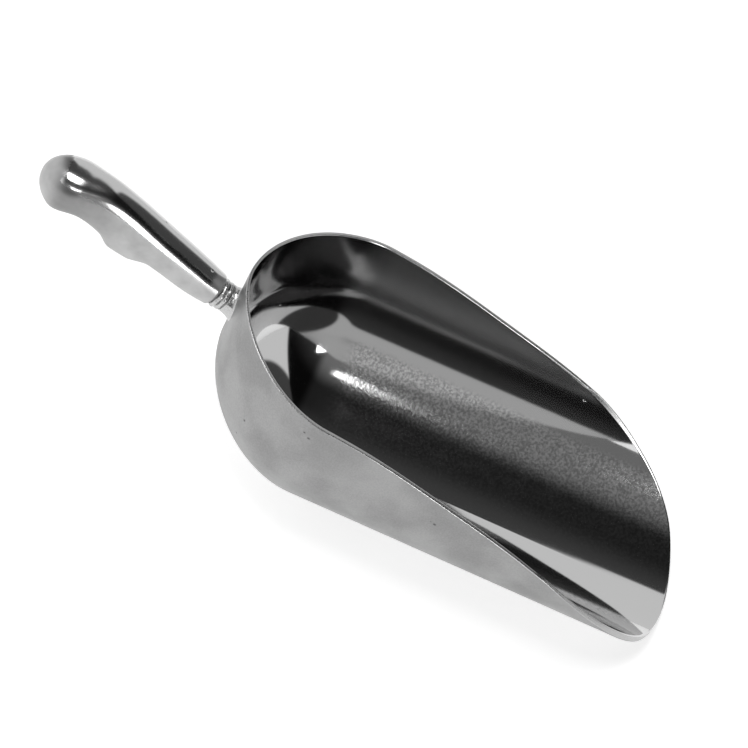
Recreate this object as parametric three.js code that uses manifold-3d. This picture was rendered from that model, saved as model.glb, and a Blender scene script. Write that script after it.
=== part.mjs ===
// Aluminium ice scoop: a round-bottomed bowl with a swept rim, and a contoured grip welded to its back wall.
// Millimetres, +Z up. The mouth faces -Y and the grip points to +Y. The origin is the centre of the
// bounding box on the resting plane.
import * as THREE from 'three';
import { mergeVertices } from 'three/addons/utils/BufferGeometryUtils.js';
import Module from 'manifold-3d';

const wasm = await Module();
wasm.setup();

// ---- driving dimensions -------------------------------------------------------------------------------
const JOINT_GAP = 0.3;              // clearance between pieces that touch on the bench

const BOWL_LENGTH = 246;            // back wall to the front lip
const BOWL_RADIUS = 55.9;           // round bottom at mid-length
const BOWL_TAPER = 0.011;           // the radius grows by this share from the back wall to the lip
const HEEL_DEPTH = 56.5;            // how far the rounded back end reaches forward
const HEEL_POWER = 1.79;            // 2 is an ellipsoid, and less is leaner between its axes
const WALL_SIDE = 2.0;              // thickness of the side wall at the rim
const WALL_FLOOR = 2.6;             // thickness of the floor before the resting flat is ground off
const FLAT_DEPTH = 0.45;            // how much the resting flat takes off the round bottom

// rim height above the resting plane, as [share of the bowl's length from the back wall, height]
const RIM_HEIGHT = [[0, 99.3], [0.15, 92.1], [0.3, 86.9], [0.5, 73.5], [0.7, 55.9], [0.85, 33], [0.95, 13.7],
  [1, 0]];

const GRIP_ROOT_HEIGHT = 75.9;      // where the grip's axis meets the back wall
const GRIP_ANGLE = THREE.MathUtils.degToRad(18.15);
const GRIP_LENGTH = 105;            // along the axis, from the back wall to the end of the bulb
const GRIP_SHOULDER = 9.6;          // the grip's full section starts this far from the wall
const GRIP_END_ROUND = 18;          // length of the bulb's rounded end
const GRIP_POWER = 2.25;            // squareness of the grip's section: 2 is an ellipse
// the grip's section about its axis, as [share of its length from the wall, size]
const GRIP_HALF_WIDTH = [[0, 6.3], [0.35, 9.2], [0.7, 10.8], [0.9, 12.7], [1, 12.7]];
const GRIP_CROWN = [[0, 5.6], [0.35, 11], [0.7, 15.5], [0.9, 12.2], [1, 12.2]];
const GRIP_BELLY = [[0, 7.8], [0.2, 10.4], [0.4, 8.4], [0.49, 14.7], [0.57, 15.5], [0.66, 9], [0.76, 6.5],
  [0.9, 15], [1, 15]];

const STUB_RADIUS = 5;              // the grip's cast stub, inside the weld beads
const STUB_DROP = 0.8;              // the stub and the beads sit this far below the grip's axis
const BEAD_RADIUS = 7.5;            // outer radius of the two ring beads
const BEAD_HALF_WIDTH = 1.05;
const BEAD_PLACES = [['outer_weld_bead', 8.2], ['middle_weld_bead', 5.8]];
const FILLET_WALL_RADIUS = 9.0;     // the root weld spreads to this radius on the bowl
const FILLET_LENGTH = 4.4;          // and ends this far from the wall

// ---- mesh densities -------------------------------------------------------------------------------------
const TROUGH_STATIONS = 26;
const HEEL_STATIONS = 22;
const BOWL_COLUMNS = 15;
const GRIP_RINGS = 44;
const GRIP_SIDES = 32;
const ROUND_SIDES = 40;

// ---- directions ---------------------------------------------------------------------------------------------
const GRIP_AXIS = new THREE.Vector3(0, Math.cos(GRIP_ANGLE), Math.sin(GRIP_ANGLE));
const GRIP_UP = new THREE.Vector3(0, -Math.sin(GRIP_ANGLE), Math.cos(GRIP_ANGLE));

/** Smooth curve through rising or falling knots that never overshoots them. */
function monotone(knots) {
  const n = knots.length;
  const slopes = knots.slice(1).map((k, i) => (k[1] - knots[i][1]) / (k[0] - knots[i][0]));
  const tangents = knots.map((_, i) => {
    if (i === 0) return slopes[0];
    if (i === n - 1) return slopes[n - 2];
    if (slopes[i - 1] * slopes[i] <= 0) return 0;
    return (2 * slopes[i - 1] * slopes[i]) / (slopes[i - 1] + slopes[i]);
  });
  return (x) => {
    let i = 0;
    while (i < n - 2 && x > knots[i + 1][0]) i += 1;
    const h = knots[i + 1][0] - knots[i][0];
    const t = THREE.MathUtils.clamp((x - knots[i][0]) / h, 0, 1);
    const a = knots[i][1] * (1 + 2 * t) * (1 - t) ** 2 + knots[i + 1][1] * t * t * (3 - 2 * t);
    return a + h * t * (1 - t) * (tangents[i] * (1 - t) - tangents[i + 1] * t);
  };
}

const rimHeight = monotone(RIM_HEIGHT);
const gripHalfWidth = monotone(GRIP_HALF_WIDTH);
const gripCrown = monotone(GRIP_CROWN);
const gripBelly = monotone(GRIP_BELLY);

/** One closed geometry from points and faces, with equal points merged and its faces turned outwards. */
function closedGeometry(points, faces) {
  const raw = new THREE.BufferGeometry();
  raw.setAttribute('position', new THREE.Float32BufferAttribute(points.flatMap((p) => p.toArray()), 3));
  raw.setIndex(faces);
  const merged = mergeVertices(raw, 1e-4);
  const index = Array.from(merged.index.array);
  const kept = [];
  for (let i = 0; i < index.length; i += 3) {
    const [a, b, c] = index.slice(i, i + 3);
    if (a !== b && b !== c && c !== a) kept.push(a, b, c);
  }
  merged.setIndex(signedVolume(merged, kept) < 0 ? kept.reverse() : kept);
  return merged;
}

function signedVolume(geometry, index) {
  const [a, b, c] = [new THREE.Vector3(), new THREE.Vector3(), new THREE.Vector3()];
  let six = 0;
  for (let i = 0; i < index.length; i += 3) {
    a.fromBufferAttribute(geometry.attributes.position, index[i]);
    b.fromBufferAttribute(geometry.attributes.position, index[i + 1]);
    c.fromBufferAttribute(geometry.attributes.position, index[i + 2]);
    six += a.dot(b.cross(c));
  }
  return six / 6;
}

function toSolid(geometry) {
  const bare = geometry.clone();
  bare.deleteAttribute('normal');
  bare.deleteAttribute('uv');
  const merged = mergeVertices(bare, 1e-4);
  return new wasm.Manifold(new wasm.Mesh({
    numProp: 3,
    vertProperties: new Float32Array(merged.attributes.position.array),
    triVerts: new Uint32Array(merged.index.array),
  }));
}

function fromSolid(solid) {
  const mesh = solid.getMesh();
  const geometry = new THREE.BufferGeometry();
  geometry.setAttribute('position', new THREE.BufferAttribute(mesh.vertProperties, 3));
  geometry.setIndex(new THREE.BufferAttribute(mesh.triVerts, 1));
  return geometry;
}

// ---- bowl ---------------------------------------------------------------------------------------------------
function bowlRadius(s) {
  return BOWL_RADIUS * (1 + BOWL_TAPER * (s / BOWL_LENGTH - 0.5));
}

/** The section at a station: how far round the bottom it goes, and how much straight wall is above that. */
function sectionAt(s) {
  const radius = bowlRadius(Math.max(s, HEEL_DEPTH));
  const centre = radius - FLAT_DEPTH;
  const rim = rimHeight(s / BOWL_LENGTH);
  const turn = rim < centre ? Math.acos((centre - Math.max(rim, 0)) / centre) : Math.PI / 2;
  return { radius, centre, rim, turn, wall: Math.max(rim - centre, 0) };
}

/** Distance from the heel's centre to its wall along a direction, for half-axes radius and depth. */
function heelReach(direction, radius, depth) {
  const across = Math.hypot(direction.x, direction.z) / radius;
  const along = Math.abs(direction.y) / depth;
  return (across ** HEEL_POWER + along ** HEEL_POWER) ** (-1 / HEEL_POWER);
}

/** A point of the bowl's skin. A station is {s} in the trough or {psi} round the heel, with its side. */
function bowlPoint(station, column, inner) {
  const plan = station.psi === undefined ? null : new THREE.Vector3(Math.sin(station.psi), Math.cos(station.psi), 0);
  const heelRadius = bowlRadius(HEEL_DEPTH);
  const s = plan ? HEEL_DEPTH - plan.y * heelReach(plan, heelRadius, HEEL_DEPTH) : station.s;
  const { radius, centre, rim, turn, wall } = sectionAt(s);
  const total = radius * turn + wall;
  const flatEdge = Math.min(radius * Math.acos(centre / radius), 0.3 * total);
  const share = (column - 1) / (BOWL_COLUMNS - 1);
  const run = column === 0 ? 0 : flatEdge + (total - flatEdge) * share;
  const angle = Math.min(run / radius, turn);
  const climb = Math.max(run - radius * turn, 0);

  const thin = inner ? WALL_SIDE : 0;
  const floorCentre = inner ? centre + WALL_FLOOR - WALL_SIDE : centre;
  const climbed = wall > 0 ? climb * (rim - floorCentre) / wall : 0;
  if (!plan) {
    const x = station.side * (radius - thin) * Math.sin(angle);
    const z = floorCentre - (radius - thin) * Math.cos(angle) + climbed;
    return new THREE.Vector3(x, -s, inner ? z : Math.max(z, 0));
  }
  const direction = plan.multiplyScalar(Math.sin(angle)).setZ(-Math.cos(angle));
  const reach = heelReach(direction, heelRadius - thin, HEEL_DEPTH - thin);
  const z = floorCentre + direction.z * reach + climbed;
  return new THREE.Vector3(direction.x * reach, direction.y * reach - HEEL_DEPTH, inner ? z : Math.max(z, 0));
}

function makeBowl() {
  const stations = [];
  for (let i = 0; i < TROUGH_STATIONS; i += 1) {
    const share = Math.sin((i / TROUGH_STATIONS) * Math.PI / 2);
    stations.push({ side: 1, s: BOWL_LENGTH - (BOWL_LENGTH - HEEL_DEPTH) * share ** 2 });
  }
  for (let i = 0; i <= HEEL_STATIONS; i += 1) stations.push({ psi: Math.PI / 2 - (i * Math.PI) / HEEL_STATIONS });
  for (let i = TROUGH_STATIONS - 1; i >= 0; i -= 1) stations.push({ side: -1, s: stations[i].s });

  const points = [];
  const faces = [];
  const row = 2 * (BOWL_COLUMNS + 1);
  stations.forEach((station) => {
    for (let j = 0; j <= BOWL_COLUMNS; j += 1) points.push(bowlPoint(station, j, false));
    for (let j = BOWL_COLUMNS; j >= 0; j -= 1) points.push(bowlPoint(station, j, true));
  });
  for (let i = 0; i < stations.length - 1; i += 1) {
    for (let j = 0; j < row - 1; j += 1) {
      const [a, b, c, d] = [i * row + j, i * row + j + 1, i * row + row + j, i * row + row + j + 1];
      if (i < (stations.length - 1) / 2) faces.push(a, b, c, b, d, c);
      else faces.push(a, b, d, a, d, c);
    }
  }
  return closedGeometry(points, faces);
}

// ---- grip and its welds ---------------------------------------------------------------------------------------
function gripPoint(along, side, up) {
  return new THREE.Vector3(side, 0, GRIP_ROOT_HEIGHT).addScaledVector(GRIP_AXIS, along).addScaledVector(GRIP_UP, up);
}

function gripRing(along) {
  const share = along / GRIP_LENGTH;
  const intoEnd = THREE.MathUtils.clamp(1 - (GRIP_LENGTH - along) / GRIP_END_ROUND, 0, 1);
  const closing = Math.sqrt(1 - intoEnd ** 2);
  const ring = [];
  for (let k = 0; k < GRIP_SIDES; k += 1) {
    const angle = (k / GRIP_SIDES) * 2 * Math.PI;
    const c = Math.sign(Math.cos(angle)) * Math.abs(Math.cos(angle)) ** (2 / GRIP_POWER);
    const s = Math.sign(Math.sin(angle)) * Math.abs(Math.sin(angle)) ** (2 / GRIP_POWER);
    const height = s > 0 ? gripCrown(share) : gripBelly(share);
    ring.push(gripPoint(along, closing * gripHalfWidth(share) * c, closing * height * s));
  }
  return ring;
}

function makeGripBody() {
  const points = [gripPoint(GRIP_SHOULDER, 0, 0)];
  const faces = [];
  for (let i = 0; i < GRIP_RINGS; i += 1) {
    const share = Math.sin((i / GRIP_RINGS) * Math.PI / 2) ** 1.2;
    points.push(...gripRing(GRIP_SHOULDER + (GRIP_LENGTH - GRIP_SHOULDER) * share));
  }
  const tip = points.push(gripPoint(GRIP_LENGTH, 0, 0)) - 1;
  for (let k = 0; k < GRIP_SIDES; k += 1) {
    const next = (k + 1) % GRIP_SIDES;
    faces.push(0, 1 + next, 1 + k);
    faces.push(tip, tip - GRIP_SIDES + k, tip - GRIP_SIDES + next);
    for (let i = 0; i < GRIP_RINGS - 1; i += 1) {
      const a = 1 + i * GRIP_SIDES;
      const b = a + GRIP_SIDES;
      faces.push(a + k, a + next, b + k, a + next, b + next, b + k);
    }
  }
  return closedGeometry(points, faces);
}

/** A turned piece about the stub's axis, from [radius, distance from the wall] points. */
function turned(profile) {
  const lathe = new THREE.LatheGeometry(profile.map(([r, along]) => new THREE.Vector2(r, along)), ROUND_SIDES);
  const toAxis = new THREE.Quaternion().setFromUnitVectors(new THREE.Vector3(0, 1, 0), GRIP_AXIS);
  const origin = gripPoint(0, 0, -STUB_DROP);
  return lathe.applyMatrix4(new THREE.Matrix4().compose(origin, toAxis, new THREE.Vector3(1, 1, 1)));
}

/** The upright back of the bowl, grown by the joint gap, to cut the pieces that butt against it. */
function backWallCutter() {
  const outline = new THREE.Shape();
  const half = bowlRadius(HEEL_DEPTH);
  for (let k = 0; k <= HEEL_STATIONS * 2; k += 1) {
    const plan = new THREE.Vector3(Math.cos((k / HEEL_STATIONS) * Math.PI), Math.sin((k / HEEL_STATIONS) * Math.PI), 0);
    const reach = heelReach(plan, half, HEEL_DEPTH) + JOINT_GAP;
    if (k === 0) outline.moveTo(plan.x * reach, plan.y * reach - HEEL_DEPTH);
    else outline.lineTo(plan.x * reach, plan.y * reach - HEEL_DEPTH);
  }
  const height = 2 * GRIP_ROOT_HEIGHT;
  return toSolid(new THREE.ExtrudeGeometry(outline, { depth: height, bevelEnabled: false }));
}

function makeHandle(cutter) {
  const stub = toSolid(turned([[0, -6], [STUB_RADIUS, -6], [STUB_RADIUS, GRIP_SHOULDER + 4], [0, GRIP_SHOULDER + 4]]));
  return fromSolid(toSolid(makeGripBody()).add(stub).subtract(cutter));
}

/** Ring bead: a half-round cap on a short straight bore that clears the stub. */
function makeBead(along) {
  const bore = STUB_RADIUS + JOINT_GAP;
  const profile = [[bore, along + BEAD_HALF_WIDTH], [bore, along - BEAD_HALF_WIDTH]];
  const steps = 8;
  for (let k = 0; k <= steps; k += 1) {
    const angle = (k / steps - 0.5) * Math.PI;
    const shoulder = BEAD_RADIUS - BEAD_HALF_WIDTH;
    profile.push([shoulder + BEAD_HALF_WIDTH * Math.cos(angle), along + BEAD_HALF_WIDTH * Math.sin(angle)]);
  }
  profile.push(profile[0]);
  return turned(profile);
}

/** Root weld: it flares from the last bead onto the bowl's back wall. */
function makeFillet(cutter) {
  const bore = STUB_RADIUS + JOINT_GAP;
  const profile = [[bore, FILLET_LENGTH], [bore, -6], [FILLET_WALL_RADIUS + 1.5, -6]];
  const steps = 8;
  for (let k = 0; k <= steps; k += 1) {
    const share = k / steps;
    const flare = (1 - share) ** 2;
    profile.push([BEAD_RADIUS + (FILLET_WALL_RADIUS + 1.5 - BEAD_RADIUS) * flare, -3 + (FILLET_LENGTH + 2.2) * share]);
  }
  profile.push(profile[0]);
  return fromSolid(toSolid(turned(profile)).subtract(cutter));
}

// ---- assembly ---------------------------------------------------------------------------------------------------
function piece(name, geometry, color, roughness) {
  const material = new THREE.MeshStandardMaterial({ color, roughness, metalness: 1 });
  const mesh = new THREE.Mesh(geometry, material);
  mesh.name = name;
  return mesh;
}

const cutter = backWallCutter();
const group = new THREE.Group();
group.add(piece('bowl', makeBowl(), 0xc9cacc, 0.3));
group.add(piece('handle', makeHandle(cutter), 0xc9cacc, 0.3));
group.add(piece('root_weld', makeFillet(cutter), 0xb5b6b8, 0.4));
BEAD_PLACES.forEach(([name, along]) => group.add(piece(name, makeBead(along), 0xb5b6b8, 0.4)));
const box = new THREE.Box3().setFromObject(group);
group.position.y = -(box.min.y + box.max.y) / 2;

export default group;
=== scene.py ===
# A cast aluminium ice scoop: a bowl polished inside, a contoured grip and the weld between them.
import math

import bpy
import numpy as np
from mathutils import Matrix, Vector, kdtree, noise


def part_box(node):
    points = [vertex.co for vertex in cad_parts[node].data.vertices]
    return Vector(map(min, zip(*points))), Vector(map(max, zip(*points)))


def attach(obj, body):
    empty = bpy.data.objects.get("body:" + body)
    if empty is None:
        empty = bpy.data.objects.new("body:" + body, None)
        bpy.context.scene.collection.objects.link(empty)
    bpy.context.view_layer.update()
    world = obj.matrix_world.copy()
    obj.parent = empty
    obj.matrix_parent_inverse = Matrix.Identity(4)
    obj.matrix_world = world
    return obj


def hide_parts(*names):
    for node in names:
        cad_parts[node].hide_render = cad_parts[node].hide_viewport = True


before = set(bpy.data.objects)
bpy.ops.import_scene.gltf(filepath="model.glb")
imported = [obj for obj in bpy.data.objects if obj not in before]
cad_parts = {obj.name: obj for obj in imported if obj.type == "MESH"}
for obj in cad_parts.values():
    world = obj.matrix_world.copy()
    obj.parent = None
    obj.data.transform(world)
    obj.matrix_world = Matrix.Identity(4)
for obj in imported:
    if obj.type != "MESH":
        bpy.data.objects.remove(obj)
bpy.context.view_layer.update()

MM = 0.001

# ---- sizes from the frame ------------------------------------------------------------------------
bowl_low, bowl_high = (np.array(corner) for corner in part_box("bowl"))
BACK_Y = bowl_high[1]                       # the back wall's outer face
BOWL_LENGTH = bowl_high[1] - bowl_low[1]
WIDEST = 1.0022                             # the bowl is widest near its lip, by this much over mid-length
BOWL_RADIUS = (bowl_high[0] - bowl_low[0]) / 2 / WIDEST

# ---- the bowl's own proportions, the same as the CAD part's --------------------------------------
BOWL_TAPER = 0.011
HEEL_DEPTH = 56.5 * MM
HEEL_POWER = 1.79
WALL_SIDE = 2.0 * MM
WALL_FLOOR = 2.6 * MM
FLAT_DEPTH = 0.45 * MM
FLOOR_EXTRA = 0.5 * MM          # the inner skin differs from an even wall by this much at the floor,
CORNER_EXTRA = 0.6 * MM         # in the lower corners
HEEL_EXTRA = -0.5 * MM          # and at the heel; more than 0 is thicker
# In the lists below each pair is a share of the length, from the back or the root, and a size in mm.
RIM_HEIGHT = [(0, 99.3), (0.15, 92.1), (0.3, 86.9), (0.5, 73.5), (0.7, 55.9), (0.85, 33), (0.95, 13.7),
              (1, 0)]

# ---- the grip, the same as the CAD part's --------------------------------------------------------
GRIP_ROOT = np.array([0, BACK_Y, 75.9 * MM])
GRIP_ANGLE = math.radians(18.15)
GRIP_LENGTH = 105 * MM
GRIP_SHOULDER = 9.6 * MM
GRIP_END_ROUND = 18 * MM
GRIP_HALF_WIDTH = [(0, 6.3), (0.35, 9.2), (0.7, 10.8), (0.9, 12.7), (1, 12.7)]
GRIP_CROWN = [(0, 5.6), (0.35, 11), (0.7, 15.5), (0.9, 12.2), (1, 12.2)]
GRIP_BELLY = [(0, 7.8), (0.2, 10.4), (0.4, 8.4), (0.49, 14.7), (0.57, 15.5), (0.66, 9), (0.76, 6.5),
              (0.9, 15), (1, 15)]
GRIP_POWER = 2.25
STUB_DROP = 0.8 * MM
STUB_RADIUS = 5.0 * MM
BEAD_RADIUS = 7.5 * MM
BEAD_HALF_WIDTH = 1.05 * MM
BEAD_PLACES = {"outer_weld_bead": 8.2 * MM, "middle_weld_bead": 5.8 * MM}
FILLET_WALL_RADIUS = 9.0 * MM
FILLET_LENGTH = 4.4 * MM

GRIP_AXIS = np.array([0, math.cos(GRIP_ANGLE), math.sin(GRIP_ANGLE)])
GRIP_UP = np.array([0, -math.sin(GRIP_ANGLE), math.cos(GRIP_ANGLE)])


def monotone(knots):
    """Smooth curve through rising or falling knots that never overshoots them."""
    x = np.array([k[0] for k in knots], float)
    y = np.array([k[1] for k in knots], float)
    slope = np.diff(y) / np.diff(x)
    before, after = slope[:-1], slope[1:]
    same = before * after > 0
    inner = np.where(same, 2 * before * after / np.where(same, before + after, 1), 0)
    tangent = np.concatenate([slope[:1], inner, slope[-1:]])

    def curve(at):
        at = np.clip(np.asarray(at, float), x[0], x[-1])
        i = np.clip(np.searchsorted(x, at, side="right") - 1, 0, len(x) - 2)
        h = x[i + 1] - x[i]
        t = (at - x[i]) / h
        level = y[i] * (1 + 2 * t) * (1 - t) ** 2 + y[i + 1] * t * t * (3 - 2 * t)
        return level + h * t * (1 - t) * (tangent[i] * (1 - t) - tangent[i + 1] * t)

    return curve


rim_height = monotone(RIM_HEIGHT)
grip_half_width = monotone(GRIP_HALF_WIDTH)
grip_crown = monotone(GRIP_CROWN)
grip_belly = monotone(GRIP_BELLY)


def ease(value, low, high):
    """0 below low, 1 above high and smooth between."""
    t = min(max((value - low) / (high - low), 0), 1)
    return t * t * (3 - 2 * t)


def make_object(name, points, faces, materials, face_material=None, weights=None):
    mesh = bpy.data.meshes.new(name)
    mesh.from_pydata([tuple(p) for p in points], [], faces)
    for material in materials:
        mesh.materials.append(material)
    if face_material is not None:
        mesh.polygons.foreach_set("material_index", face_material)
    mesh.polygons.foreach_set("use_smooth", [True] * len(mesh.polygons))
    for label, values in (weights or {}).items():
        mesh.attributes.new(label, "FLOAT", "POINT").data.foreach_set("value", values)
    mesh.update()
    piece = bpy.data.objects.new(name, mesh)
    bpy.context.collection.objects.link(piece)
    return piece


# ---- bowl ----------------------------------------------------------------------------------------
def bowl_radius(s):
    return BOWL_RADIUS * (1 + BOWL_TAPER * (s / BOWL_LENGTH - 0.5))


def heel_reach(direction, radius, depth):
    across = math.hypot(direction[0], direction[2]) / radius
    along = abs(direction[1]) / depth
    return (across ** HEEL_POWER + along ** HEEL_POWER) ** (-1 / HEEL_POWER)


class Section:
    """The upright section of the bowl at a station: {s} along the trough, or {psi} round the heel."""

    def __init__(self, s=None, side=1, psi=None):
        self.plan = None
        self.side = side
        if psi is not None:
            self.plan = np.array([math.sin(psi), math.cos(psi), 0])
            s = HEEL_DEPTH - self.plan[1] * heel_reach(self.plan, bowl_radius(HEEL_DEPTH), HEEL_DEPTH)
        self.s = s
        self.radius = bowl_radius(max(s, HEEL_DEPTH))
        self.centre = self.radius - FLAT_DEPTH
        self.rim = float(rim_height(s / BOWL_LENGTH)) * MM
        low = self.rim < self.centre
        self.turn = math.acos(min((self.centre - self.rim) / self.centre, 1)) if low else math.pi / 2
        self.wall = max(self.rim - self.centre, 0)
        self.total = self.radius * self.turn + self.wall

    def point(self, run, depth):
        """A point at a distance round the outer skin from the spine, and a depth into the metal."""
        angle = min(run / self.radius, self.turn)
        climb = max(run - self.radius * self.turn, 0)
        inner = min(depth / WALL_SIDE, 1)
        lift = (WALL_FLOOR - WALL_SIDE + FLOOR_EXTRA) * inner
        depth += CORNER_EXTRA * math.sin(2 * min(angle, math.pi / 2)) ** 2 * inner
        floor_centre = self.centre + lift
        climbed = climb * (self.rim - floor_centre) / self.wall if self.wall > 0 else 0
        if self.plan is None:
            r = self.radius - depth
            return np.array([self.side * r * math.sin(angle), BACK_Y - self.s,
                             max(floor_centre - r * math.cos(angle) + climbed, 0)])
        direction = self.plan * math.sin(angle)
        direction[2] = -math.cos(angle)
        reach = heel_reach(direction, self.radius - depth, HEEL_DEPTH - depth - HEEL_EXTRA * inner)
        return np.array([direction[0] * reach, BACK_Y - HEEL_DEPTH + direction[1] * reach,
                         max(floor_centre + direction[2] * reach + climbed, 0)])


TROUGH_STATIONS = 120
STATION_CROWDING = 2.0          # stations crowd together towards the lip
HEEL_STATIONS = 90
SKIN_COLUMNS = 58
COLUMN_CROWDING = 2.0           # columns crowd together towards the rim
OUTER_CORNER = 0.55 * MM        # rounding of the rim's outer corner
INNER_CORNER = 0.4 * MM         # rounding of its inner corner
EDGE_STEPS = 3
FACET_SLOPE = 0.2               # a facet ground along the inner edge, widest on the flanks of the lip
FACET_WIDTH = monotone([(0, 0.7), (0.5, 0.7), (0.6, 1.6), (0.72, 3.0), (0.84, 1.4), (0.93, 0.9), (1, 0.9)])
FACET_CREASE = 0.5 * MM
FACET_SHOWN = 1.2 * MM          # where it is wider than this it keeps its grinding marks
WAVE_SIZE = 14 * MM             # slow hand-polishing waves of the inner skin
WAVE_HEIGHT = 0.005 * MM


def bowl_stations():
    trough = BOWL_LENGTH - HEEL_DEPTH
    right = [dict(side=1, s=BOWL_LENGTH - trough * (i / TROUGH_STATIONS) ** STATION_CROWDING)
             for i in range(1, TROUGH_STATIONS)]
    heel = [dict(psi=math.pi / 2 - math.pi * i / HEEL_STATIONS) for i in range(HEEL_STATIONS + 1)]
    left = [dict(side=-1, s=station["s"]) for station in reversed(right)]
    return right + heel + left


def rim_distance(sections):
    """A tree of points close together along the rim, for the distance of any skin point from it."""
    corners = [section.point(section.total, 0) for section in sections]
    spacing = 0.1 * MM
    rim = []
    for a, b in zip(corners, corners[1:] + corners[:1]):
        steps = max(int(np.linalg.norm(b - a) / spacing), 1)
        rim += [a + (b - a) * i / steps for i in range(steps)]
    tree = kdtree.KDTree(len(rim))
    for i, place in enumerate(rim):
        tree.insert(place, i)
    tree.balance()
    return tree


def corner_depth(distance, round_size):
    """How far a rounded corner falls away from the skin, at a distance from the edge."""
    inside = max(1 - distance / round_size, 0)
    return round_size * (1 - math.sqrt(1 - inside * inside))


def facet_width(y):
    return float(FACET_WIDTH((BACK_Y - y) / BOWL_LENGTH)) * MM


def inner_depth(distance, y, place):
    inside = max(facet_width(y) - distance, 0)
    run_in = inside ** 2 / (2 * FACET_CREASE)
    ground = FACET_SLOPE * (run_in if inside < FACET_CREASE else inside - FACET_CREASE / 2)
    wave = WAVE_HEIGHT * noise.noise(Vector(place) / WAVE_SIZE) * ease(distance, 0, 6 * MM)
    return WALL_SIDE - ground - corner_depth(distance, INNER_CORNER) + wave


def bowl_mesh(outside, inside, edge):
    sections = [Section(**station) for station in bowl_stations()]
    tree = rim_distance(sections)
    rows, ground = [], []
    for section in sections:
        outer, inner, on_facet = [], [], []
        for k in range(SKIN_COLUMNS + 1):
            run = section.total * (1 - (1 - k / SKIN_COLUMNS) ** COLUMN_CROWDING)
            skin = section.point(run, 0)
            distance = tree.find(skin)[2]
            outer.append(section.point(run, corner_depth(distance, OUTER_CORNER)))
            depth = inner_depth(distance, skin[1], skin)
            inner.append(section.point(run, depth))
            facet = facet_width(skin[1])
            on_facet.append(facet > FACET_SHOWN and facet - distance > FACET_CREASE)
        row = list(outer)
        for k in range(1, EDGE_STEPS):
            row.append(outer[-1] + (inner[-1] - outer[-1]) * k / EDGE_STEPS)
        ground.append([False] * len(row) + on_facet[::-1])
        row += reversed(inner)
        rows.append(row)
    width = len(rows[0])
    points = [p for row in rows for p in row]
    faces, kinds = [], []
    first_edge = SKIN_COLUMNS - 3
    last_edge = SKIN_COLUMNS + EDGE_STEPS + 1
    count = len(rows)
    for i in range(count):
        n = (i + 1) % count
        for j in range(width - 1):
            faces.append((i * width + j, i * width + j + 1, n * width + j + 1, n * width + j))
            facet = ground[i][j] and ground[i][j + 1] and ground[n][j] and ground[n][j + 1]
            kinds.append(0 if j < first_edge else 1 if j > last_edge and not facet else 2)
    return make_object("bowl_shell", points, faces, [outside, inside, edge], kinds)


# ---- grip ----------------------------------------------------------------------------------------
def grip_point(along, side, up):
    return GRIP_ROOT + GRIP_AXIS * along + GRIP_UP * up + np.array([side, 0, 0])


GRIP_RINGS = 220
GRIP_SIDES = 120
SHOULDER_ROUND = 1.6 * MM
CREASE_ANGLE = math.radians(39)     # of the section, up from the side
CREASE_HEIGHT = 0.22 * MM
CREASE_SPREAD = 0.3
CREASE_RISES = (0.1, 0.2)           # shares of the grip's length
CREASE_FADES = (0.84, 0.95)
POLISH_BLUR = math.radians(3)
POLISH_ENDS = (0.915, 0.945)        # the polished crown stops at the round end


def power(value, exponent):
    return math.copysign(abs(value) ** exponent, value)


def grip_mesh(material):
    points, faces, polish = [], [], []
    start = GRIP_SHOULDER
    stub = [(0.3 * MM, STUB_RADIUS), (start - 1 * MM, STUB_RADIUS)]
    for along, radius in stub:
        for k in range(GRIP_SIDES):
            angle = k / GRIP_SIDES * 2 * math.pi
            points.append(grip_point(along, radius * math.cos(angle), radius * math.sin(angle) - STUB_DROP))
            polish.append(0.5)
    for i in range(GRIP_RINGS):
        share_in = 1 - math.cos(i / (GRIP_RINGS - 1) * math.pi)
        along = start + (GRIP_LENGTH - start) * share_in / 2
        share = along / GRIP_LENGTH
        into_end = min(max(1 - (GRIP_LENGTH - along) / GRIP_END_ROUND, 0), 0.99999)
        closing = math.sqrt(1 - into_end ** 2)
        into_shoulder = max(1 - (along - start) / SHOULDER_ROUND, 0)
        shoulder = -SHOULDER_ROUND * (1 - math.sqrt(1 - into_shoulder ** 2))
        w = float(grip_half_width(share)) * MM
        crown = float(grip_crown(share)) * MM
        belly = float(grip_belly(share)) * MM
        crease_fade = ease(share, *CREASE_RISES) * (1 - ease(share, *CREASE_FADES))
        for k in range(GRIP_SIDES):
            angle = k / GRIP_SIDES * 2 * math.pi
            c = power(math.cos(angle), 2 / GRIP_POWER)
            s = power(math.sin(angle), 2 / GRIP_POWER)
            height = crown if s > 0 else belly
            from_side = angle if angle < math.pi / 2 else math.pi - angle
            crease = CREASE_HEIGHT * crease_fade * math.exp(-abs(from_side - CREASE_ANGLE) / CREASE_SPREAD)
            grow = 1 + crease / w
            points.append(grip_point(along, closing * (w + shoulder) * c * grow,
                                     closing * (height + shoulder) * s * grow))
            on_crown = ease(from_side, CREASE_ANGLE - POLISH_BLUR, CREASE_ANGLE + POLISH_BLUR)
            polish.append(on_crown * (1 - ease(share, *POLISH_ENDS)))
    rings = len(stub) + GRIP_RINGS
    for i in range(rings - 1):
        for k in range(GRIP_SIDES):
            n = (k + 1) % GRIP_SIDES
            a, b = i * GRIP_SIDES, (i + 1) * GRIP_SIDES
            faces.append((a + k, a + n, b + n, b + k))
    tip, root = len(points), len(points) + 1
    points.append(grip_point(GRIP_LENGTH, 0, 0))
    points.append(grip_point(stub[0][0], 0, -STUB_DROP))
    polish += [0, 0]
    end = (rings - 1) * GRIP_SIDES
    for k in range(GRIP_SIDES):
        n = (k + 1) % GRIP_SIDES
        faces.append((end + k, end + n, tip))
        faces.append((n, k, root))
    return make_object("grip", points, faces, [material], weights={"polish": polish})


# ---- weld ----------------------------------------------------------------------------------------
WELD_SIDES = 120


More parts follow.
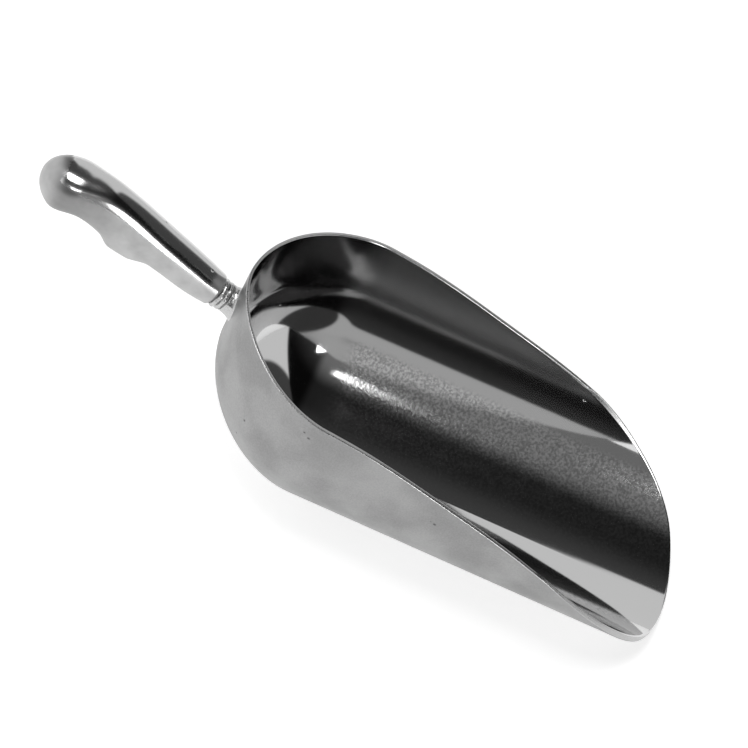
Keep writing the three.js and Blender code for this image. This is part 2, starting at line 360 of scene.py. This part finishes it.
def weld_wobble(angle, seed, detail):
    """Smooth noise round the neck that closes on itself."""
    return noise.noise(Vector((detail * math.cos(angle), detail * math.sin(angle), seed)))


def turned_mesh(name, profile, material):
    """A closed ring about the stub's axis; {profile} gives its loop of (radius, place along) at an angle."""
    points, faces = [], []
    for k in range(WELD_SIDES):
        angle = k / WELD_SIDES * 2 * math.pi
        loop = profile(angle)
        for radius, along in loop:
            points.append(grip_point(along, radius * math.cos(angle), radius * math.sin(angle) - STUB_DROP))
    n = len(loop)
    for k in range(WELD_SIDES):
        m = (k + 1) % WELD_SIDES
        for i in range(n):
            j = (i + 1) % n
            faces.append((k * n + i, k * n + j, m * n + j, m * n + i))
    return make_object(name, points, faces, [material])


BEAD_STEPS = 12
BEAD_ROOT = 4.6 * MM            # the rings reach this far into the stub
BEAD_DOME = 1.3 * MM
BEAD_WANDERS = 0.4 * MM         # by hand: along the neck,
BEAD_UNEVEN = 0.55 * MM         # and in height


def bead_mesh(name, place, seed, material):
    def profile(angle):
        along = place + BEAD_WANDERS * weld_wobble(angle, seed, 1.6)
        top = BEAD_RADIUS + BEAD_UNEVEN * weld_wobble(angle, seed + 5, 2.4) - 0.35 * MM
        half = BEAD_HALF_WIDTH + 0.3 * MM
        loop = [(BEAD_ROOT, along + half), (BEAD_ROOT, along - half)]
        for k in range(BEAD_STEPS + 1):
            turn = (k / BEAD_STEPS - 0.5) * math.pi
            loop.append((top - BEAD_DOME * (1 - math.cos(turn)), along + half * math.sin(turn)))
        return loop
    return turned_mesh(name + "_skin", profile, material)


def wall_along(radius, angle):
    """Distance along the grip's axis at which a line parallel to it meets the bowl's back wall."""
    side = radius * math.cos(angle)
    up = radius * math.sin(angle) - STUB_DROP
    wall_y = -HEEL_DEPTH * (1 - (1 - (abs(side) / BOWL_RADIUS) ** HEEL_POWER) ** (1 / HEEL_POWER))
    return (wall_y + up * math.sin(GRIP_ANGLE)) / math.cos(GRIP_ANGLE)


FILLET_STEPS = 14
FILLET_NECK = 6.7 * MM
FILLET_BURIED = 0.4 * MM        # its foot goes this far into the wall
FILLET_UNEVEN = 0.22 * MM


def root_weld_mesh(material):
    def profile(angle):
        foot = FILLET_WALL_RADIUS - 0.5 * MM + 0.5 * MM * weld_wobble(angle, 3, 2.2)
        loop = [(BEAD_ROOT, FILLET_LENGTH), (BEAD_ROOT, wall_along(BEAD_ROOT, angle) - FILLET_BURIED)]
        for k in range(FILLET_STEPS + 1):
            t = k / FILLET_STEPS
            radius = FILLET_NECK + (foot - FILLET_NECK) * (1 - t) ** 2
            radius += FILLET_UNEVEN * weld_wobble(angle, 9 + 2 * t, 4) * math.sin(t * math.pi)
            wall = wall_along(radius, angle) - FILLET_BURIED * (1 - t)
            loop.append((radius, wall + (FILLET_LENGTH - wall) * t ** 1.6))
        return loop
    return turned_mesh("root_weld_skin", profile, material)


# ---- materials -----------------------------------------------------------------------------------
class Nodes:
    """A material's node tree with short ways to add what the finishes need."""

    def __init__(self, name, colour, roughness):
        self.material = bpy.data.materials.new(name)
        self.material.use_nodes = True
        self.tree = self.material.node_tree
        self.shader = self.tree.nodes["Principled BSDF"]
        self.shader.inputs["Metallic"].default_value = 1
        self.shader.inputs["Base Color"].default_value = (colour, colour, colour, 1)
        self.shader.inputs["Roughness"].default_value = roughness
        self.position = self.tree.nodes.new("ShaderNodeTexCoord").outputs["Object"]

    def link(self, source, target):
        if isinstance(source, (int, float)):
            target.default_value = source
        else:
            self.tree.links.new(source, target)

    def noise(self, size, detail=2, rough=0.5, stretch=None):
        node = self.tree.nodes.new("ShaderNodeTexNoise")
        node.inputs["Scale"].default_value = 1 / size
        node.inputs["Detail"].default_value = detail
        node.inputs["Roughness"].default_value = rough
        if stretch is None:
            self.link(self.position, node.inputs["Vector"])
        else:
            mapping = self.tree.nodes.new("ShaderNodeMapping")
            mapping.inputs["Scale"].default_value = stretch
            self.link(self.position, mapping.inputs["Vector"])
            self.link(mapping.outputs["Vector"], node.inputs["Vector"])
        return node.outputs["Fac"]

    def spread(self, value, low, high, to_low, to_high):
        """Maps low..high to to_low..to_high, smoothly and without going past them."""
        node = self.tree.nodes.new("ShaderNodeMapRange")
        node.interpolation_type = "SMOOTHSTEP"
        for label, number in (("From Min", low), ("From Max", high), ("To Min", to_low), ("To Max", to_high)):
            node.inputs[label].default_value = number
        self.link(value, node.inputs["Value"])
        return node.outputs["Result"]

    def math(self, operation, first, second=0.0):
        node = self.tree.nodes.new("ShaderNodeMath")
        node.operation = operation
        self.link(first, node.inputs[0])
        self.link(second, node.inputs[1])
        return node.outputs[0]

    def mix(self, share, first, second):
        node = self.tree.nodes.new("ShaderNodeMix")
        self.link(share, node.inputs["Factor"])
        self.link(first, node.inputs[2])
        self.link(second, node.inputs[3])
        return node.outputs[0]

    def attribute(self, name):
        node = self.tree.nodes.new("ShaderNodeAttribute")
        node.attribute_name = name
        return node.outputs["Fac"]

    def axis(self, name):
        node = self.tree.nodes.new("ShaderNodeSeparateXYZ")
        self.link(self.position, node.inputs[0])
        return node.outputs[name]

    def distance(self, place):
        node = self.tree.nodes.new("ShaderNodeVectorMath")
        node.operation = "DISTANCE"
        self.link(self.position, node.inputs[0])
        node.inputs[1].default_value = tuple(place)
        return node.outputs["Value"]

    def grey(self, value):
        node = self.tree.nodes.new("ShaderNodeCombineColor")
        for channel in ("Red", "Green", "Blue"):
            self.link(value, node.inputs[channel])
        self.link(node.outputs["Color"], self.shader.inputs["Base Color"])

    def roughness(self, value):
        self.link(value, self.shader.inputs["Roughness"])

    def bump(self, height, depth, after=None):
        node = self.tree.nodes.new("ShaderNodeBump")
        node.inputs["Strength"].default_value = 1
        node.inputs["Distance"].default_value = depth
        self.link(height, node.inputs["Height"])
        if after is not None:
            self.link(after, node.inputs["Normal"])
        return node.outputs["Normal"]

    def finish(self, normal):
        self.link(normal, self.shader.inputs["Normal"])
        return self.material


NOISE_LOW, NOISE_HIGH = 0.3, 0.7        # nearly all of a noise texture's values lie between these
GRAIN = 0.9 * MM
CLOUD = 26 * MM


def pitted(nodes, pits):
    """1 on sound metal, falling to 0 in each pit: {pits} holds (place in mm, radius in mm)."""
    sound = 1.0
    for spot, radius in pits:
        away = nodes.distance([value * MM for value in spot])
        sound = nodes.math("MULTIPLY", nodes.spread(away, 0.25 * radius * MM, radius * MM, 0, 1), sound)
    return sound


# Each pit is a place and a radius, both in mm.
OUTSIDE_PITS = [((-43.5, 48.1, 56.8), 0.9), ((-41.5, 48.5, 43.3), 0.8), ((-54.9, 23.9, 82.3), 0.8),
                ((-55.3, 21.1, 80.2), 1.0), ((-55.9, -46.4, 60.6), 1.1), ((-55.6, -44.2, 61.4), 0.6),
                ((52.8, 30.5, 61.0), 0.9), ((55.7, -31.0, 38.0), 0.8), ((30.0, 62.0, 30.0), 0.9)]
INSIDE_PITS = [((44.6, 42.5, 49.6), 1.1), ((53.5, -97.9, 48.7), 0.9), ((25.2, -21.9, 8.4), 0.5),
               ((24.0, -44.5, 7.8), 0.5), ((47.8, -62.5, 31.2), 0.7), ((35.7, 51.7, 42.8), 0.6)]
GRIP_PITS = [((3.5, 114.9, 102.6), 0.9), ((-0.1, 88.0, 89.7), 0.9)]


def outside_metal():
    nodes = Nodes("satin_outside", 0.5, 0.42)
    cloud = nodes.noise(CLOUD, 3, 0.55)
    grain = nodes.noise(GRAIN, 3, 0.6)
    clouded = nodes.spread(cloud, NOISE_LOW, NOISE_HIGH, 0.27, 0.33)
    shade = nodes.math("ADD", clouded, nodes.spread(grain, NOISE_LOW, NOISE_HIGH, -0.02, 0.02))
    sound = pitted(nodes, OUTSIDE_PITS)
    nodes.grey(nodes.math("MULTIPLY", shade, nodes.spread(sound, 0, 1, 0.45, 1)))
    nodes.roughness(nodes.spread(cloud, NOISE_LOW, NOISE_HIGH, 0.46, 0.38))
    relief = nodes.bump(grain, 0.012 * MM, nodes.bump(cloud, 0.1 * MM))
    return nodes.finish(nodes.bump(sound, 0.25 * MM, relief))


POLISHED = 0.62                 # reflectance of bright metal
PEEL_SIZE = 1.3 * MM
PEEL_HEIGHT = 0.038 * MM
PIT_DEPTH = 0.15 * MM
MIRROR = 0.07                   # roughness of the best polish
WORN_TOP = (26 * MM, 31 * MM)   # the worn zone, which also carries a painted reflection mottle, fades out between these heights,
WORN_BACK = (4 * MM, 16 * MM)   # these places along the bowl
WORN_SIDE = (4 * MM, 24 * MM)   # and these across it
HAZE_RISE = (45 * MM, 58 * MM)  # the side walls get hazier between these heights
HAZE_BACK = (10 * MM, 34 * MM)  # and the haze fades out between these places along the bowl


def inside_metal():
    """Mirror polish, worn to a hazy orange peel low on one side of the trough, with hazier side walls; the
    peel's broken reflection is also painted into the colour there as a mottle.
    """
    nodes = Nodes("polished_inside", POLISHED, MIRROR)
    peel = nodes.noise(PEEL_SIZE, 3, 0.65)
    haze = nodes.noise(9 * MM, 3, 0.6)
    low = nodes.spread(nodes.axis("Z"), *WORN_TOP, 1, 0)
    trough = nodes.spread(nodes.axis("Y"), *WORN_BACK, 1, 0)
    one_side = nodes.spread(nodes.axis("X"), *WORN_SIDE, 0, 1)
    wear_and_painted_mottle = nodes.math("MULTIPLY", nodes.math("MULTIPLY", low, trough), one_side)
    hazy = nodes.math("MULTIPLY", wear_and_painted_mottle, nodes.spread(haze, NOISE_LOW, NOISE_HIGH, 0.03, 0.06))
    upper = nodes.math("MULTIPLY", nodes.spread(nodes.axis("Z"), *HAZE_RISE, 0, 0.16),
                       nodes.spread(nodes.axis("Y"), *HAZE_BACK, 1, 0))
    nodes.roughness(nodes.math("ADD", nodes.math("ADD", hazy, upper), MIRROR))
    sound = pitted(nodes, INSIDE_PITS)
    # painted reflection: the colour is mottled in the worn zone to stand for the orange peel's broken
    # reflection of the lights
    painted_peel_mottle = nodes.math("MULTIPLY", wear_and_painted_mottle, nodes.spread(peel, 0.35, 0.65, 0.3, -0.3))
    polished = nodes.spread(sound, 0, 1, 0.4, POLISHED)
    nodes.grey(nodes.math("SUBTRACT", polished, nodes.math("MULTIPLY", painted_peel_mottle, 0.6)))
    relief = nodes.bump(nodes.math("MULTIPLY", wear_and_painted_mottle, peel), PEEL_HEIGHT)
    return nodes.finish(nodes.bump(sound, PIT_DEPTH, relief))


def edge_metal():
    nodes = Nodes("ground_edge", 0.45, 0.3)
    lines = nodes.noise(0.7 * MM, 2, 0.6)
    nodes.roughness(nodes.spread(lines, NOISE_LOW, NOISE_HIGH, 0.24, 0.36))
    return nodes.finish(nodes.bump(lines, 0.02 * MM))


BULB_PAINTED_SHADE = (125 * MM, 158 * MM)     # painted shade: the satin sides are darkened towards the bulb,
BULB_PAINTED_LIGHT = (159 * MM, 170 * MM)    # and painted light lightens them again at its end


def grip_metal():
    """A polished crown with a ragged edge, where the vertex weight is 1, and satin sides."""
    nodes = Nodes("grip_finish", POLISHED, 0.16)
    polish = nodes.attribute("polish")
    grain = nodes.noise(1.1 * MM, 3, 0.6)
    ragged = nodes.math("ADD", polish, nodes.spread(grain, NOISE_LOW, NOISE_HIGH, -0.25, 0.25))
    nodes.roughness(nodes.spread(ragged, NOISE_LOW, NOISE_HIGH, 0.34, 0.16))
    cloud = nodes.noise(16 * MM, 3, 0.6)
    satin = nodes.spread(cloud, NOISE_LOW, NOISE_HIGH, 0.35, 0.45)
    # painted shade and painted light: the satin colour is darkened towards the bulb and lightened at its end,
    # standing for how the light falls there
    bulb_painted_light_and_shade = nodes.math("ADD", nodes.spread(nodes.axis("Y"), *BULB_PAINTED_SHADE, 1, 0.55),
                      nodes.spread(nodes.axis("Y"), *BULB_PAINTED_LIGHT, 0, 0.5))
    satin = nodes.math("MULTIPLY", satin, bulb_painted_light_and_shade)
    shade = nodes.mix(nodes.spread(ragged, NOISE_LOW, NOISE_HIGH, 0, 1), satin, POLISHED)
    sound = pitted(nodes, GRIP_PITS)
    nodes.grey(nodes.math("MULTIPLY", shade, nodes.spread(sound, 0, 1, 0.5, 1)))
    return nodes.finish(nodes.bump(sound, 0.2 * MM, nodes.bump(grain, 0.008 * MM)))


def weld_metal():
    nodes = Nodes("weld_finish", 0.5, 0.22)
    grain = nodes.noise(0.8 * MM, 3, 0.6)
    nodes.roughness(nodes.spread(grain, NOISE_LOW, NOISE_HIGH, 0.16, 0.34))
    return nodes.finish(nodes.bump(grain, 0.05 * MM))


def place(piece, node, slot):
    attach(piece, "root")
    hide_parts(node)


weld_finish = weld_metal()
place(bowl_mesh(outside_metal(), inside_metal(), edge_metal()), "bowl", "bowl_aluminium")
place(grip_mesh(grip_metal()), "handle", "handle_aluminium")
for seed, (node, along) in enumerate(BEAD_PLACES.items()):
    place(bead_mesh(node, along, 20 * seed, weld_finish), node, "weld_aluminium")
place(root_weld_mesh(weld_finish), "root_weld", "weld_aluminium")

# ---- camera --------------------------------------------------------------------------------------
CAMERA_AZIMUTH = math.radians(-98.55)
CAMERA_ELEVATION = math.radians(51.6)
CAMERA_ROLL = math.radians(30.92)
CAMERA_DISTANCE = 1.2148
CAMERA_LENS = 125.14
SENSOR = 36.0
AIM_RIGHT = 0.08584
AIM_UP = 0.00844


def add_camera():
    az, el, roll = CAMERA_AZIMUTH, CAMERA_ELEVATION, CAMERA_ROLL
    back = Vector((math.sin(az) * math.cos(el), -math.cos(az) * math.cos(el), math.sin(el)))
    level_right = Vector((math.cos(az), math.sin(az), 0))
    level_up = back.cross(level_right)
    right = level_right * math.cos(roll) + level_up * math.sin(roll)
    up = level_up * math.cos(roll) - level_right * math.sin(roll)
    target = Vector((0, BACK_Y, 0)) + right * AIM_RIGHT + up * AIM_UP
    data = bpy.data.cameras.new("camera")
    data.lens = CAMERA_LENS
    data.sensor_width = SENSOR
    data.clip_start = 0.01
    camera = bpy.data.objects.new("camera", data)
    rotation = Matrix((right, up, back)).transposed()
    camera.matrix_world = Matrix.Translation(target + back * CAMERA_DISTANCE) @ rotation.to_4x4()
    bpy.context.collection.objects.link(camera)
    bpy.context.scene.camera = camera


add_camera()

# ---- stage ---------------------------------------------------------------------------------------
FLOOR = 40.0                    # half its width
FLOOR_DROP = 0.05 * MM
FLOOR_GLOW = 0.6


def add_floor():
    mesh = bpy.data.meshes.new("floor")
    corners = [(-1, -1), (1, -1), (1, 1), (-1, 1)]
    mesh.from_pydata([(x * FLOOR, y * FLOOR, -FLOOR_DROP) for x, y in corners], [], [(0, 1, 2, 3)])
    material = bpy.data.materials.new("pale_floor")
    material.use_nodes = True
    shader = material.node_tree.nodes["Principled BSDF"]
    shader.inputs["Base Color"].default_value = (0.8, 0.8, 0.8, 1)
    shader.inputs["Roughness"].default_value = 0.9
    shader.inputs["Specular IOR Level"].default_value = 0.1
    shader.inputs["Emission Color"].default_value = (1, 1, 1, 1)
    shader.inputs["Emission Strength"].default_value = FLOOR_GLOW
    mesh.materials.append(material)
    floor = bpy.data.objects.new("floor", mesh)
    bpy.context.collection.objects.link(floor)


def add_softbox(name, at, aim, width, height, radiance):
    """A rectangular light of a given brightness, facing a point."""
    data = bpy.data.lights.new(name, "AREA")
    data.shape = "RECTANGLE"
    data.size, data.size_y = width, height
    data.energy = radiance * math.pi * width * height
    light = bpy.data.objects.new(name, data)
    away = (Vector(at) - Vector(aim)).normalized()
    light.rotation_euler = away.to_track_quat("Z", "Y").to_euler()
    light.location = at
    light.visible_camera = False
    bpy.context.collection.objects.link(light)


PALE = 0.93                     # what the camera sees beyond the floor
DARK = 0.018                    # what reflections see: the room, darkest overhead
DIM = 0.06
ROOM = 0.2
ROOM_STOPS = [(0.12, ROOM), (0.3, DARK), (0.45, DARK), (0.75, DIM)]     # from side to side
CORNER_SHADE = 0.2              # the room is darker in front of the lip
CORNER_SPAN = (-0.5, -0.3)
BACKDROP = 0.8                  # a light panel beside the lip
BACKDROP_AIM = (0.649, -0.752, -0.109)
BACKDROP_EDGE = 0.395
FLAG_SHADE = 0.07               # with a dark flag in front of it
FLAG_AIM = (0.296, -0.771, 0.564)
FLAG_SIZE = math.radians(26)
EDGE_SOFT = 0.012
BEHIND = 1.0                    # a light wall behind the grip's end
BEHIND_SPAN = (0.3, 0.55)


class Sky:
    """The world's node tree, with short ways to shade it by the direction looked in."""

    def __init__(self):
        self.world = bpy.data.worlds.new("studio")
        self.world.use_nodes = True
        self.tree = self.world.node_tree
        self.direction = self.tree.nodes.new("ShaderNodeTexCoord").outputs["Generated"]
        self.across = self.tree.nodes.new("ShaderNodeSeparateXYZ")
        self.tree.links.new(self.direction, self.across.inputs[0])

    def link(self, source, target):
        if isinstance(source, (int, float)):
            target.default_value = source
        else:
            self.tree.links.new(source, target)

    def towards(self, aim):
        """The cosine of the angle from {aim}."""
        node = self.tree.nodes.new("ShaderNodeVectorMath")
        node.operation = "DOT_PRODUCT"
        node.inputs[1].default_value = aim
        self.link(self.direction, node.inputs[0])
        return node.outputs["Value"]

    def between(self, value, low, high, to_low, to_high):
        node = self.tree.nodes.new("ShaderNodeMapRange")
        node.interpolation_type = "SMOOTHSTEP"
        ranges = {"From Min": low, "From Max": high, "To Min": to_low, "To Max": to_high}
        for label, number in ranges.items():
            self.link(number, node.inputs[label])
        self.link(value, node.inputs["Value"])
        return node.outputs["Result"]

    def panel(self, aim, edge, outside, inside):
        """{inside} where the cosine from {aim} is over {edge}, {outside} elsewhere, with a soft edge."""
        return self.between(self.towards(aim), edge - EDGE_SOFT, edge + EDGE_SOFT, outside, inside)

    def math(self, operation, *values):
        node = self.tree.nodes.new("ShaderNodeMath")
        node.operation = operation
        for value, target in zip(values, node.inputs):
            self.link(value, target)
        return node.outputs[0]

    def ramp(self, value, stops):
        node = self.tree.nodes.new("ShaderNodeValToRGB")
        self.link(value, node.inputs["Fac"])
        node.color_ramp.interpolation = "EASE"
        elements = node.color_ramp.elements
        elements[-1].position = stops[-1][0]
        elements[0].position = stops[0][0]
        for at, _ in stops[1:-1]:
            elements.new(at)
        for element, (_, level) in zip(elements, stops):
            element.color = (level, level, level, 1)
        return node.outputs["Color"]


def studio_world():
    """Pale to the camera; to reflections a dim room with a light backdrop beyond the lip's far corner."""
    sky = Sky()
    room = sky.ramp(sky.math("MULTIPLY_ADD", sky.across.outputs["X"], 0.5, 0.5), ROOM_STOPS)
    corner = sky.between(sky.across.outputs["Y"], *CORNER_SPAN, CORNER_SHADE, 1.0)
    backdrop = sky.panel(FLAG_AIM, math.cos(FLAG_SIZE), BACKDROP, FLAG_SHADE)
    shade = sky.panel(BACKDROP_AIM, BACKDROP_EDGE, sky.math("MULTIPLY", room, corner), backdrop)
    behind = sky.between(sky.across.outputs["Y"], *BEHIND_SPAN, 0.0, BEHIND)
    pale = sky.tree.nodes.new("ShaderNodeMix")
    sky.link(sky.tree.nodes.new("ShaderNodeLightPath").outputs["Is Camera Ray"], pale.inputs["Factor"])
    sky.link(sky.math("MAXIMUM", shade, behind), pale.inputs[2])
    pale.inputs[3].default_value = PALE
    sky.link(pale.outputs[0], sky.tree.nodes["Background"].inputs["Color"])
    bpy.context.scene.world = sky.world


OVERHEAD = Vector((-0.06, 0.27, 1.1))       # seen in the grip's round end
STRIP = Vector((-0.93, 0.1, 1.1))           # seen low in the trough
GRIP_MIDDLE = Vector((0, 0.12, 0.09))
SIDE_AZIMUTH = math.radians(213)            # seen along the grip's crown
SIDE_ELEVATION = math.radians(12)
SIDE_DISTANCE = 2.6


def add_lights():
    down = Vector((0, 0, -1))
    level = math.cos(SIDE_ELEVATION)
    side = Vector((level * math.cos(SIDE_AZIMUTH), level * math.sin(SIDE_AZIMUTH), math.sin(SIDE_ELEVATION)))
    add_softbox("overhead_softbox", OVERHEAD, OVERHEAD + down, width=0.42, height=0.3, radiance=9.0)
    add_softbox("strip_softbox", STRIP, STRIP + down, width=0.16, height=0.4, radiance=6.5)
    beside = GRIP_MIDDLE + SIDE_DISTANCE * side
    add_softbox("side_softbox", beside, GRIP_MIDDLE, width=0.62, height=1.6, radiance=6.5)


add_floor()
studio_world()
add_lights()
bpy.context.scene.view_settings.view_transform = "Standard"
